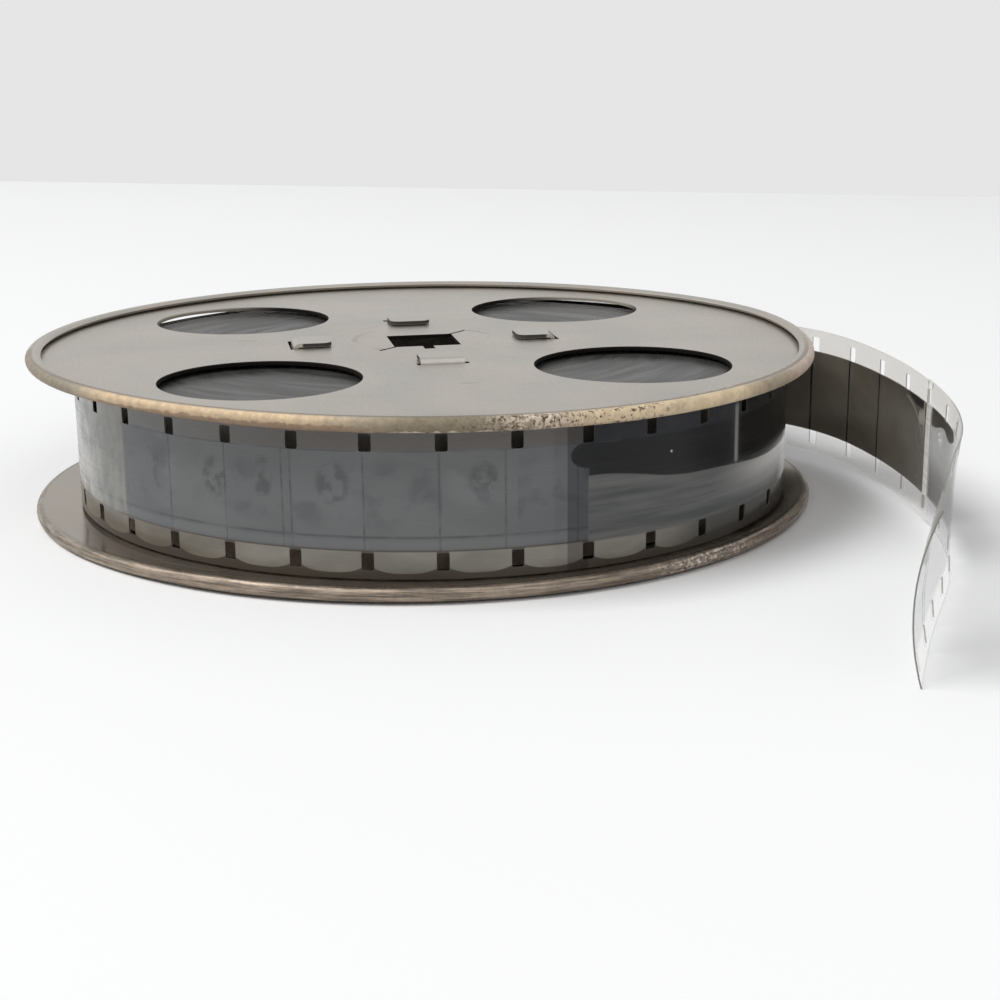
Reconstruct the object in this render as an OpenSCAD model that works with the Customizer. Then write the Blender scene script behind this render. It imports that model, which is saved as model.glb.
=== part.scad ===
// Metal cine film reel lying on its side, wound with narrow double perforated film, the outer end hanging free.
// Millimetres, origin on the reel axis at the plane the lower rim stands on, +Z up along the axis.

/* [Film] */
// width of the film
film_w = 15.95; // [15.8:0.01:16]
// play between each edge of the film and its flange
edge_play = 0.45; // [0.3:0.05:1]
// thickness of the film
film_t = 0.15; // [0.12:0.01:0.18]
// spacing of the perforations
perf_pitch = 7.62; // [7.54:0.01:7.62]
// size of a perforation along the film
perf_along = 1.27; // [1.1:0.01:1.4]
// size of a perforation across the film
perf_across = 1.83; // [1.6:0.01:2]
// edge of the film to the near side of a perforation
perf_edge = 0.9; // [0.8:0.01:1.1]
// outer radius of the tight part of the roll
pack_r = 40; // [34:0.1:40.2]
// play of the roll on the drum
pack_fit = 0.05; // [0.03:0.01:0.1]
// how far round the inside of the drum the film's first end is tucked
tuck_sweep = 38; // [20:1:60]

/* [Flanges] */
// outer diameter over the rolled rims
flange_d = 94.6; // [93:0.1:110]
// thickness of the pressed sheet
sheet = 0.45; // [0.35:0.05:0.5]
// height of the rolled rim, sheet included
rim_h = 1.3; // [1.25:0.05:1.8]
// width of the flat land on top of the rolled rim
rim_land = 0.35; // [0.2:0.05:1]
// radius that the free lip of the rim bends down with
lip_r = 1.2; // [1:0.05:1.5]
// how far the lip bends round
lip_sweep = 41; // [30:1:44]

/* [Openings in the flanges] */
// diameter of the four light holes
light_d = 22.2; // [15:0.1:23]
// radius of the circle that the light holes sit on
light_pitch_r = 29.65; // [29:0.05:31]
// break on the outer edge of each light hole
light_break = 0.12; // [0.05:0.01:0.2]
// side of the square spindle hole
spindle_square = 8.1; // [7.8:0.1:9]
// diameter of the round spindle hole in the lower flange
spindle_round_d = 8.1; // [7.8:0.1:9]
// width of the key notch in one side of the square hole
key_w = 1.3; // [1:0.1:2]
// depth of the key notch
key_d = 1.9; // [1:0.1:2.5]
// width of the two slits that run out from opposite corners of the square
slit_w = 0.4; // [0.3:0.05:0.8]
// length of each corner slit
slit_len = 2.9; // [1:0.1:3.5]

/* [Hub] */
// outer diameter of the drum
hub_d = 32; // [30:0.1:33]
// gap where the ends of the rolled drum strip stop short of each other
seam_w = 1.6; // [1.2:0.1:3]
// direction of that gap
seam_angle = 135; // [125:1:145]
// width of a clinch tab
tab_w = 5.1; // [4:0.1:6]
// length of a clinch tab on the flange
tab_len = 4.6; // [3:0.1:4.9]
// radius of the corners at a tab's free end
tab_corner = 1.2; // [0.5:0.1:1.8]
// inner radius of the bend of a tab
tab_bend = 0.3; // [0.25:0.05:0.4]
// play over the tab's thickness where it lies on the flange
tab_lift = 0.15; // [0.1:0.05:0.25]
// play of a slot past the tab at each of its ends
slot_play = 0.45; // [0.2:0.05:0.8]
// play of a slot outside the tab
slot_out = 0.4; // [0.2:0.05:0.8]
// close play on the inside of the tab
slot_in = 0.1; // [0.05:0.01:0.1]

/* [Loose turn and free end] */
// play between the tight roll and the inside of the loose turn
turn_play = 0.35; // [0.32:0.01:0.5]
// how much wider in radius the loose turn is than the tight roll, to its middle line
turn_slack = 2.8; // [2.6:0.05:2.9]
// how far off the axis the loose turn lies, sideways
turn_x = 0.955; // [0.7:0.005:1]
// how far off the axis the loose turn lies, front to back
turn_y = -1.28; // [-1.3:0.005:-1]
// how much wider the last stretch of the turn is wound
turn_open = 0.7; // [0.6:0.05:1.2]
// run of the free end that leaves nearly straight
leave_run = 22.5; // [16:0.5:28]
// radius of that run
leave_r = 320; // [250:10:800]
// run of the curl after it
curl_run = 12; // [9:0.5:18]
// radius of the curl
curl_r = 30; // [26:0.5:40]
// run of the open curve past the curl
sweep_run = 24.5; // [20:0.5:30]
// radius of the open curve
sweep_r = 77; // [65:1:110]
// run of the second bend
bend_run = 26.5; // [22:0.5:32]
// radius of the second bend
bend_r = 70.5; // [60:0.5:100]
// radius of the last stretch, below zero because it bends back a little
end_r = -300; // [-600:10:-240]
// overlap of the cemented splice
splice_w = 2.2; // [1.8:0.1:2.5]
// thickness of the cement in the splice
cement = 0.02; // [0.01:0.01:0.04]
// length of film from the splice to the cut end
leader_len = 54.5; // [45:0.5:60]
// how far the middle of the cut end cups in towards the reel
cup = 1.6; // [0.5:0.05:1.9]
// how far the upper corner of the cut end leans out over the lower one
lean = 0.95; // [0:0.05:2]
// run of the free end that stays level with the roll
drop_after = 17; // [12:0.5:24]
// run over which its lower edge then comes down to the table
drop_run = 65; // [50:1:80]
// height of the cut end over the table
end_lift = 0.05; // [0.02:0.01:0.1]

/* [Hidden] */
$fn = 96;
eps = 0.01;

rim_r = flange_d / 2;
// the clear width between the two flanges follows the film
flange_gap = film_w + 2 * edge_play;
height = flange_gap + 2 * rim_h;
low_in = rim_h;
high_in = height - rim_h;
hub_r = hub_d / 2;
hub_in = hub_r - sheet;
film_z = (height - film_w) / 2;
slot_w = sheet + slot_in + slot_out;
slot_len = tab_w + 2 * slot_play;

// The free film is a chain of clockwise arcs, each with a run and a radius.
turn_r = pack_r + turn_slack;
touch_r = pack_r + turn_play + film_t / 2;
lead_at = 60;
room = turn_r - touch_r;
lead_dir = [cos(lead_at), sin(lead_at)];
turn_c = [turn_x, turn_y];
lead_d = (room * room - turn_c * turn_c) / (2 * (room + turn_c * lead_dir));
lead_r = turn_r - lead_d;
lead_c = turn_c + lead_d * lead_dir;
loop_run = turn_r * 240 * PI / 180;
// the start is set back so that a perforation lands at the front of the roll
front_run = turn_r * 157.37 * PI / 180;
lead_run = 24.5 * perf_pitch - front_run;
lead_from = lead_at + lead_run / lead_r * 180 / PI;
open_r = turn_r + turn_open;
turn_cells = round((lead_run + loop_run + open_r * 145 * PI / 180) / perf_pitch);
turn_end = turn_cells * perf_pitch;
open_run = turn_end - lead_run - loop_run;
splice_at = turn_end + 7.5 * perf_pitch;
leader_end = splice_at + leader_len;
end_run = leader_end - turn_end - leave_run - curl_run - sweep_run - bend_run;
drop_from = turn_end + drop_after;

RUNS = [lead_run, loop_run, open_run, leave_run, curl_run, sweep_run, bend_run, end_run + 5];
RADII = [lead_r, turn_r, open_r, leave_r, curl_r, sweep_r, bend_r, end_r];
START = [lead_c[0] + lead_r * cos(lead_from), lead_c[1] + lead_r * sin(lead_from), lead_from - 90];

// A pose is x, y and the heading in degrees; a step follows a clockwise arc from it.
function step(p, run, r) =
    let (h = p[2] - run / r * 180 / PI)
    [p[0] + r * (sin(p[2]) - sin(h)), p[1] + r * (cos(h) - cos(p[2])), h];
function total(i) = i <= 0 ? 0 : RUNS[i - 1] + total(i - 1);
TOTALS = [for (i = [0 : len(RUNS)]) total(i)];
function poses_from(i, p) = i >= len(RUNS) ? [p] : concat([p], poses_from(i + 1, step(p, RUNS[i], RADII[i])));
POSES = poses_from(0, START);
function arc_of(s, i = 0) = i >= len(RUNS) - 1 || s < TOTALS[i + 1] ? i : arc_of(s, i + 1);
function pose_at(s) = let (i = arc_of(s)) step(POSES[i], s - TOTALS[i], RADII[i]);
function drop_at(s) = min(1, max(0, (s - drop_from) / drop_run));
function low_edge(s) = end_lift + (film_z - end_lift) * (1 + cos(180 * drop_at(s))) / 2;

// Columns across the strip: both sides of each perforation and the middle between two.
CUTS = [0, (perf_pitch - perf_along) / 2, (perf_pitch + perf_along) / 2];
function columns(from, to) = concat([from],
    [for (k = [floor(from / perf_pitch) : ceil(to / perf_pitch)]) for (c = CUTS)
        if (k * perf_pitch + c > from + 0.05 && k * perf_pitch + c < to - 0.05) k * perf_pitch + c], [to]);
function in_perf(s) =
    let (u = s - floor(s / perf_pitch) * perf_pitch) abs(u - perf_pitch / 2) < perf_along / 2 - 0.001;
PERF_TOP = perf_edge + perf_across;
FLAT_ROWS = [0, perf_edge, PERF_TOP, film_w - PERF_TOP, film_w - perf_edge, film_w];
CUPPED_ROWS = [0, perf_edge, PERF_TOP, film_w * 0.3, film_w * 0.42, film_w * 0.58, film_w * 0.7,
    film_w - PERF_TOP, film_w - perf_edge, film_w];
// The leader cups in towards the reel across its width and leans out at the top, more and more to its end.
function cup_at(s, z) =
    let (t = min(1, max(0, (s - splice_at) / leader_len)), v = 2 * z / film_w - 1)
    cup * t * sqrt(t) * (1 - v * v) - lean * t * z / film_w;
function spot(s, z, out) =
    let (p = pose_at(s), o = out - cup_at(s, z)) [p[0] - o * sin(p[2]), p[1] + o * cos(p[2]), low_edge(s) + z];
function quad(a, b, c, d) = [[a, b, c], [a, c, d]];
function flat_list(lists) = [for (l = lists) for (x = l) x];

// A strip of film between two runs of the chain, its middle surface out by a small offset.
module strip(from, to, out, rows = FLAT_ROWS) {
    cols = columns(from, to);
    n = len(cols);
    m = len(rows);
    top_hole = m - 3;
    points = [for (j = [0 : n - 1]) for (i = [0 : m - 1]) for (side = [-1, 1])
        spot(cols[j], rows[i], out + side * film_t / 2)];
    holes = [for (j = [0 : n - 2]) in_perf((cols[j] + cols[j + 1]) / 2)];
    skin = flat_list([for (j = [0 : n - 2]) for (i = [0 : m - 2]) if (!(holes[j] && (i == 1 || i == top_hole)))
        let (a = (j * m + i) * 2, b = a + 2 * m, c = b + 2, d = a + 2)
        concat(quad(a, d, c, b), quad(a + 1, b + 1, c + 1, d + 1))]);
    edges = flat_list([for (j = [0 : n - 2])
        let (a = j * m * 2, b = a + 2 * m, e = a + 2 * (m - 1), f = e + 2 * m)
        concat(quad(a, b, b + 1, a + 1), quad(e, e + 1, f + 1, f))]);
    ends = flat_list([for (i = [0 : m - 2])
        let (a = i * 2, b = ((n - 1) * m + i) * 2)
        concat(quad(a, a + 1, a + 3, a + 2), quad(b, b + 2, b + 3, b + 1))]);
    walls = flat_list([for (j = [0 : n - 2]) if (holes[j]) for (i = [1, top_hole])
        let (a = (j * m + i) * 2, b = a + 2 * m, c = b + 2, d = a + 2)
        concat(quad(a, a + 1, b + 1, b), quad(d, c, c + 1, d + 1),
            quad(a, d, d + 1, a + 1), quad(b, b + 1, c + 1, c))]);
    polyhedron(points, concat(skin, edges, ends, walls), convexity = 10);
}

// Least gap of the loose turn to itself, between each column and the pieces at least 100 mm further on.
function gap_to(p, a, b) =
    let (ab = b - a, t = min(1, max(0, ((p - a) * ab) / (ab * ab)))) norm(p - a - t * ab);
module say_gap() {
    line = [for (s = columns(0, turn_end)) let (p = pose_at(s)) [p[0], p[1]]];
    steps = columns(0, turn_end);
    gaps = [for (i = [0 : len(line) - 1]) for (j = [0 : len(line) - 2])
        if (steps[j] > steps[i] + 100) gap_to(line[i], line[j], line[j + 1])];
    echo(loose_turn_least_gap_mm = min(gaps) - film_t);
}

// One pressed flange with its inner face at z 0 and its outer side downward.
module flange_profile() {
    bend_x = rim_r - rim_h / 2;
    land_x = bend_x - rim_land;
    reach = 4 * lip_r;
    translate([0, -sheet])
        square([bend_x, sheet]);
    difference() {
        translate([bend_x, -rim_h / 2])
            circle(rim_h / 2);
        translate([bend_x, -rim_h / 2])
            circle(rim_h / 2 - sheet);
        translate([bend_x - rim_h, -rim_h - 1])
            square([rim_h, rim_h + 2]);
    }
    translate([land_x, -rim_h])
        square([rim_land, sheet]);
    intersection() {
        difference() {
            translate([land_x, lip_r - rim_h])
                circle(lip_r);
            translate([land_x, lip_r - rim_h])
                circle(lip_r - sheet);
        }
        translate([land_x, lip_r - rim_h])
            polygon([[0, 0], [0, -reach], [-reach * sin(lip_sweep), -reach * cos(lip_sweep)]]);
    }
}

module flange_blank() {
    difference() {
        rotate_extrude()
            flange_profile();
        for (k = [0 : 3])
            rotate([0, 0, 45 + 90 * k])
                translate([light_pitch_r, 0, 0]) {
                    translate([0, 0, -sheet - 1])
                        cylinder(d = light_d, h = sheet + 2);
                    translate([0, 0, -sheet - eps])
                        cylinder(d1 = light_d + 2 * light_break + 2 * eps, d2 = light_d, h = light_break + eps);
                }
        for (k = [0 : 3])
            rotate([0, 0, 90 * k])
                translate([hub_in - slot_in, -slot_len / 2, -sheet - 1])
                    cube([slot_w, slot_len, sheet + 2]);
    }
}

module upper_flange() {
    color([0.70, 0.68, 0.64])
        difference() {
            translate([0, 0, high_in])
                mirror([0, 0, 1])
                    flange_blank();
            translate([-spindle_square / 2, -spindle_square / 2, high_in - 1])
                cube([spindle_square, spindle_square, sheet + 2]);
            translate([-key_w / 2, -spindle_square / 2 - key_d, high_in - 1])
                cube([key_w, key_d + 1, sheet + 2]);
            for (k = [0, 1])
                rotate([0, 0, 45 + 180 * k])
                    translate([spindle_square * sqrt(0.5) - 0.4, -slit_w / 2, high_in - 1])
                        cube([slit_len + 0.4, slit_w, sheet + 2]);
        }
}

module lower_flange() {
    color([0.62, 0.58, 0.53])
        difference() {
            translate([0, 0, low_in])
                flange_blank();
            translate([0, 0, low_in - sheet - 1])
                cylinder(d = spindle_round_d, h = sheet + 2);
        }
}

// A clinch tab: a leg through the slot, a bend and the flat that holds the flange, seen from its own end.
module tab_profile() {
    under = sheet + tab_lift;
    bend_c = [hub_in - tab_bend, under - tab_bend];
    translate([hub_in, -0.3])
        square([sheet, 0.3 + under - tab_bend]);
    intersection() {
        difference() {
            translate(bend_c)
                circle(tab_bend + sheet);
            translate(bend_c)
                circle(tab_bend);
        }
        translate(bend_c)
            square([5, 5]);
    }
    translate([hub_r - tab_len, under])
        square([tab_len - sheet - tab_bend, sheet]);
}

// A tab from above, with its two free corners rounded.
module tab_outline() {
    free_x = hub_r - tab_len;
    translate([free_x + tab_corner, -tab_w / 2])
        square([tab_len, tab_w]);
    translate([free_x, tab_corner - tab_w / 2])
        square([tab_corner + 1, tab_w - 2 * tab_corner]);
    for (side = [-1, 1])
        translate([free_x + tab_corner, side * (tab_w / 2 - tab_corner)])
            circle(tab_corner);
}

module tab() {
    intersection() {
        translate([0, tab_w / 2, 0])
            rotate([90, 0, 0])
                linear_extrude(tab_w)
                    tab_profile();
        translate([0, 0, -1])
            linear_extrude(4)
                tab_outline();
    }
}

module hub_drum() {
    color([0.60, 0.59, 0.57]) {
        difference() {
            translate([0, 0, low_in])
                cylinder(r = hub_r, h = flange_gap);
            translate([0, 0, low_in - 1])
                cylinder(r = hub_in, h = flange_gap + 2);
            rotate([0, 0, seam_angle])
                translate([hub_in - 1, -seam_w / 2, low_in - 1])
                    cube([sheet + 2, seam_w, flange_gap + 2]);
        }
        for (k = [0 : 3])
            rotate([0, 0, 90 * k]) {
                translate([0, 0, high_in])
                    tab();
                translate([0, 0, low_in])
                    mirror([0, 0, 1])
                        tab();
            }
    }
}

// The first end of the film, through the gap of the drum and round against its inside.
module film_start() {
    tuck_r = hub_in - film_t - pack_fit;
    color([0.30, 0.29, 0.27])
        translate([0, 0, film_z]) {
            rotate([0, 0, seam_angle])
                rotate_extrude(angle = tuck_sweep)
                    translate([tuck_r, 0])
                        square([film_t, film_w]);
            rotate([0, 0, seam_angle])
                translate([tuck_r, -film_t / 2, 0])
                    cube([hub_r + pack_fit - tuck_r, film_t, film_w]);
        }
}

module film_pack() {
    color([0.33, 0.32, 0.31])
        translate([0, 0, film_z])
            difference() {
                cylinder(r = pack_r, h = film_w);
                translate([0, 0, -1])
                    cylinder(r = hub_r + pack_fit, h = film_w + 2);
            }
}

module film_outer_turn() {
    say_gap();
    color([0.38, 0.40, 0.42])
        strip(0, turn_end, 0);
}

module film_tail() {
    color([0.26, 0.24, 0.21])
        strip(turn_end, splice_at + splice_w / 2, 0);
}

module film_leader() {
    color([0.80, 0.80, 0.77])
        strip(splice_at - splice_w / 2, leader_end, film_t + cement, CUPPED_ROWS);
}

upper_flange();
lower_flange();
hub_drum();
film_start();
film_pack();
film_outer_turn();
film_tail();
film_leader();
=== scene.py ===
"""Dresses a cine film reel: worn plated flanges, a wound roll, its loose outer turn and the free end of the film."""
import logging
from abc import ABC, abstractmethod
from dataclasses import dataclass, field
from enum import Enum
from math import atan2, ceil, cos, degrees, floor, hypot, pi, radians, sin
from typing import Callable, Sequence, Union

import bmesh
import bpy
from mathutils import Matrix, Vector, noise


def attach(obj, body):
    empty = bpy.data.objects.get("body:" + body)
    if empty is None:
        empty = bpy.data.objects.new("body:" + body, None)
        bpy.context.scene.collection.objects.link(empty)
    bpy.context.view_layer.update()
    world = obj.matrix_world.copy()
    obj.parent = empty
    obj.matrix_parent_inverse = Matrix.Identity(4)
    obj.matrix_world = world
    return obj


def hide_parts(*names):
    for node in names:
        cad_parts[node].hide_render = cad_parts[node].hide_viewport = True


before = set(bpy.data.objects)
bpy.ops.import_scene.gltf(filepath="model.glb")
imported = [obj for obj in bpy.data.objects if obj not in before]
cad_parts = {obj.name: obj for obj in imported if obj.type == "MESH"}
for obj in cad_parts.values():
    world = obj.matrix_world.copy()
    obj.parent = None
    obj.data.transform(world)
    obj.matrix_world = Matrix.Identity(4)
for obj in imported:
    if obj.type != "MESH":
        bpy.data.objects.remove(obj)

LOG = logging.getLogger("film_reel")
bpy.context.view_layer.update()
MM = 0.001
Colour = tuple[float, float, float]
Point = tuple[float, float, float]
Pose = tuple[float, float, float]
Socket = bpy.types.NodeSocket
Feed = Union["Wire", float, Sequence[float]]


class Body(Enum):
    """The two bodies of the reel that pieces ride on."""

    REEL = "reel"
    STRAND = "strand"


class Slot(Enum):
    """The record's material slots."""

    PLATED = "plated_steel"
    WORN = "worn_steel"
    EDGES = "film_edges"
    GREY = "film_grey"
    DARK = "film_dark"


class Skin(Enum):
    """Which finish a face of the film takes, in the order of the film's material slots."""

    SHADE_AND_SHEEN = 0
    GREY = 1
    DARK = 2
    SPLICE = 3
    CLEAR = 4
    EDGE = 5
    PALE = 6
    LINE = 7

    @property
    def lets_light_through(self) -> bool:
        """Whether the margins of such film are clear."""
        return self in (Skin.DARK, Skin.SPLICE, Skin.CLEAR)


def within(value: float) -> float:
    """Keeps a number between 0 and 1."""
    return min(1.0, max(0.0, value))


def smooth(value: float) -> float:
    """Eases a number from 0 to 1."""
    value = within(value)
    return value * value * (3.0 - 2.0 * value)


def new_mesh(name: str, points: Sequence[Sequence[float]], faces: Sequence[Sequence[int]],
             materials: Sequence[bpy.types.Material]) -> bpy.types.Mesh:
    """Makes a mesh.

    Args:
        name: its name.
        points: its points in metres.
        faces: the numbers of each face's points.
        materials: its materials.

    Returns:
        The mesh.
    """
    mesh = bpy.data.meshes.new(name)
    mesh.from_pydata([tuple(point) for point in points], [], faces)
    for material in materials:
        mesh.materials.append(material)
    return mesh


def shade(mesh: bpy.types.Mesh, sharp: float) -> None:
    """Shades a mesh smoothly, apart from edges sharper than an angle in degrees."""
    mesh.shade_smooth()
    mesh.set_sharp_from_angle(angle=radians(sharp))


def add_to_scene(name: str, data: bpy.types.ID) -> bpy.types.Object:
    """Puts an object in the scene.

    Args:
        name: its name.
        data: its mesh, lamp or camera.

    Returns:
        The object.
    """
    thing = bpy.data.objects.new(name, data)
    bpy.context.scene.collection.objects.link(thing)
    return thing


def add_piece(name: str, mesh: bpy.types.Mesh, body: Body, slot: Slot, *nodes: str) -> bpy.types.Object:
    """Puts a piece of the reel in the scene.

    Args:
        name: its name.
        mesh: its mesh.
        body: the body that it rides on.
        slot: the slot that its finish comes from; not used.
        nodes: the solids that it stands for.

    Returns:
        The piece.
    """
    piece = add_to_scene(name, mesh)
    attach(piece, body.value)
    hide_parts(*nodes)
    return piece


class Wire:
    """A value on its way through a material's nodes, which is added and multiplied as a number is."""

    def __init__(self, sheet: "NodeSheet", socket: Socket) -> None:
        """Keeps the sheet of nodes and the socket that the value comes from."""
        self.sheet = sheet
        self.socket = socket

    def __add__(self, other: Feed) -> "Wire":
        """Adds a value."""
        return self.sheet.math("ADD", self, other)

    def __sub__(self, other: Feed) -> "Wire":
        """Takes a value away."""
        return self.sheet.math("SUBTRACT", self, other)

    def __rsub__(self, other: float) -> "Wire":
        """Takes this value away from a number."""
        return self.sheet.math("SUBTRACT", other, self)

    def __mul__(self, other: Feed) -> "Wire":
        """Multiplies by a value."""
        return self.sheet.math("MULTIPLY", self, other)

    def __truediv__(self, other: Feed) -> "Wire":
        """Divides by a value."""
        return self.sheet.math("DIVIDE", self, other)

    def __pow__(self, power: float) -> "Wire":
        """Raises to a power."""
        return self.sheet.math("POWER", self, power)

    def __or__(self, other: Feed) -> "Wire":
        """Joins two masks, by the larger value."""
        return self.sheet.math("MAXIMUM", self, other)

    def __abs__(self) -> "Wire":
        """Drops the sign."""
        return self.sheet.math("ABSOLUTE", self)

    def rise(self, low: float, high: float, bottom: float = 0.0, top: float = 1.0) -> "Wire":
        """Goes smoothly from one number to another as the value passes from low to high.

        Args:
            low: where the rise starts.
            high: where it ends.
            bottom: the number before it.
            top: the number after it.

        Returns:
            The result.
        """
        feeds = {"Value": self, "From Min": low, "From Max": high, "To Min": bottom, "To Max": top}
        return self.sheet.add("MapRange", feeds, "Result", interpolation_type="SMOOTHSTEP")

    def fall(self, low: float, high: float) -> "Wire":
        """Goes smoothly from 1 to 0 as the value passes from low to high."""
        return self.rise(low, high, 1.0, 0.0)

    def band(self, low: float, high: float, soft: float) -> "Wire":
        """Gives 1 while the value is between low and high and 0 outside, with sides that are soft either way."""
        return self.rise(low - soft, low + soft) * self.fall(high - soft, high + soft)

    def mix(self, first: Feed, second: Feed) -> "Wire":
        """Mixes two colours, of which the second shows as much as the value says."""
        return self.sheet.add("Mix", {0: self, 6: first, 7: second}, 2, data_type="RGBA")


class NodeSheet:
    """A tree of shader nodes that are laid down with short calls."""

    def __init__(self, tree: bpy.types.NodeTree) -> None:
        """Starts with nothing in the tree."""
        self.tree = tree
        tree.nodes.clear()

    def feed(self, target: Socket, value: Feed) -> None:
        """Links a wire to a node's input, or sets the input to a constant.

        Args:
            target: the input.
            value: a wire, a number, or the numbers of a colour or vector.
        """
        if isinstance(value, Wire):
            self.tree.links.new(value.socket, target)
        elif isinstance(value, (int, float)):
            target.default_value = float(value)
        else:
            target.default_value = (*value, 1.0) if target.type == "RGBA" else tuple(value)

    def add(self, kind: str, feeds: dict[Union[int, str], Feed], output: Union[int, str] = 0,
            **settings: Union[str, bool]) -> Wire:
        """Adds a node.

        Args:
            kind: its type.
            feeds: what its inputs get.
            output: which of its outputs is wanted.
            settings: its settings.

        Returns:
            The output.
        """
        node = self.tree.nodes.new("ShaderNode" + kind)
        for name, setting in settings.items():
            setattr(node, name, setting)
        for name, value in feeds.items():
            self.feed(node.inputs[name], value)
        return Wire(self, node.outputs[output])

    def math(self, kind: str, first: Feed, second: Feed = 0.0, clamp: bool = False) -> Wire:
        """Adds a math node, whose result can be kept between 0 and 1."""
        return self.add("Math", {0: first, 1: second}, operation=kind, use_clamp=clamp)

    def scaled(self, colour: Feed, amount: Feed) -> Wire:
        """Makes a colour lighter or darker by a factor, or a vector longer or shorter."""
        return self.add("VectorMath", {0: colour, "Scale": amount}, operation="SCALE")

    def join(self, x: Feed, y: Feed, z: Feed = 0.0) -> Wire:
        """Joins three numbers to a vector."""
        return self.add("CombineXYZ", {0: x, 1: y, 2: z})

    def split(self, vector: Wire) -> tuple[Wire, ...]:
        """Splits a vector into its three numbers."""
        node = self.add("SeparateXYZ", {0: vector}).socket.node
        return tuple(Wire(self, socket) for socket in node.outputs)

    def noise(self, where: Wire, scale: float, detail: float = 2.0, rough: float = 0.5) -> Wire:
        """Adds a noise texture.

        Args:
            where: the point it is read at.
            scale: its number of patches per unit.
            detail: how many finer layers it has.
            rough: how strong those are.

        Returns:
            The noise, about 0.5 on average.
        """
        return self.add("TexNoise", {"Vector": where, "Scale": scale, "Detail": detail, "Roughness": rough})

    def chance(self, number: Wire, seed: float) -> Wire:
        """Gives a random value from 0 to 1 for each whole number, from the series of a seed."""
        return self.add("TexWhiteNoise", {"Vector": self.join(number, seed)}, "Value", noise_dimensions="2D")


@dataclass(frozen=True)
class Spot:
    """The point on the object that a material is read at, in millimetres, and its angle round the axis in radians."""

    where: Wire
    x: Wire
    y: Wire
    z: Wire
    radius: Wire
    angle: Wire

    def towards(self, heading: float, low: float, high: float) -> Wire:
        """Masks what faces a heading.

        Args:
            heading: the heading in degrees.
            low: the cosine of the angle off the heading at which the mask starts.
            high: the cosine at which it is full.

        Returns:
            The mask.
        """
        return self.angle.sheet.math("COSINE", self.angle - radians(heading)).rise(low, high)


class ShaderSheet(NodeSheet):
    """The nodes of a material with one principled shader."""

    def __init__(self, name: str) -> None:
        """Starts a material with its shader and nothing else.

        Args:
            name: the material's name.
        """
        self.material = bpy.data.materials.new(name)
        self.material.use_nodes = True
        super().__init__(self.material.node_tree)
        self.shader = self.tree.nodes.new("ShaderNodeBsdfPrincipled")
        out = self.tree.nodes.new("ShaderNodeOutputMaterial")
        self.tree.links.new(self.shader.outputs["BSDF"], out.inputs["Surface"])

    def set(self, name: str, value: Feed) -> None:
        """Feeds one of the shader's own sockets."""
        self.feed(self.shader.inputs[name], value)

    def bump(self, height: Wire, depth_mm: float, strength: float) -> None:
        """Feeds the shader's normal with a bump.

        Args:
            height: the height from 0 to 1.
            depth_mm: what a height of 1 stands for.
            strength: how much of it shows.
        """
        feeds = {"Strength": strength, "Distance": depth_mm * MM, "Height": height}
        self.set("Normal", self.add("Bump", feeds, "Normal"))

    def spot(self) -> Spot:
        """Reads the point on the object.

        Returns:
            The point.
        """
        where = self.scaled(self.add("TexCoord", {}, "Object"), 1.0 / MM)
        x, y, z = self.split(where)
        return Spot(where, x, y, z, self.math("SQRT", x * x + y * y), self.math("ARCTAN2", y, x))

    def upright(self) -> Wire:
        """Masks the walls and their broken edges, which do not face straight up or down."""
        return abs(self.split(self.add("TexCoord", {}, "Normal"))[2]).fall(0.78, 0.95)

    def film_place(self) -> tuple[Wire, ...]:
        """Gives the run along the film in frames and the height across it from 0 to 1."""
        return self.split(self.add("UVMap", {}, uv_map="film"))[:2]


@dataclass(frozen=True)
class ArcMark:
    """A line that runs round the axis, from one angle and radius to another: rubbed and scratched lines on the upper
    flange, and a broad band of painted shadow on the lower one.
    """

    start: tuple[float, float]
    stop: tuple[float, float]
    half: float
    colour: Colour
    strength: float

    def mask(self, spot: Spot) -> Wire:
        """Masks the line, which fades over its second half.

        Args:
            spot: the point on the object.

        Returns:
            The mask.
        """
        share = (spot.angle - radians(self.start[0])) / radians(self.stop[0] - self.start[0])
        middle = share * (self.stop[1] - self.start[1]) + self.start[1]
        line = abs(spot.radius - middle).fall(self.half * 0.4, self.half * 1.4)
        return line * (share.rise(-0.03, 0.03) * share.rise(0.4, 1.0, self.strength, 0.0))


@dataclass(frozen=True)
class RimZone:
    """A stretch of the rim, in degrees round the axis, given another colour all over, low down or in flakes: mostly
    worn metal and rust, in places a painted highlight and painted shade.
    """

    start: float
    stop: float
    colour: Colour
    strength: float = 0.9
    flakes: float = 0.0
    low_side: tuple[float, ...] = ()
    low_from: float = -135.0
    low_to: float = -85.0
    soft: float = 5.0

    def mask(self, sheet: ShaderSheet, spot: Spot) -> Wire:
        """Masks the stretch.

        Args:
            sheet: the material.
            spot: the point on the object.

        Returns:
            The mask.
        """
        zone = spot.angle.band(radians(self.start), radians(self.stop), radians(self.soft)) * self.strength
        if self.low_side:
            ragged = sheet.noise(spot.where, 1.2, 3.0).rise(0.3, 0.7, -0.15, 0.15)
            level = spot.angle.rise(radians(self.low_from), radians(self.low_to), *self.low_side) + ragged
            zone = zone * (spot.z - level).fall(-0.1, 0.1)
        if self.flakes > 0.0:
            zone = zone * sheet.noise(spot.where, 2.2, 4.0, 0.65).rise(self.flakes - 0.03, self.flakes + 0.03)
        return zone


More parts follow.
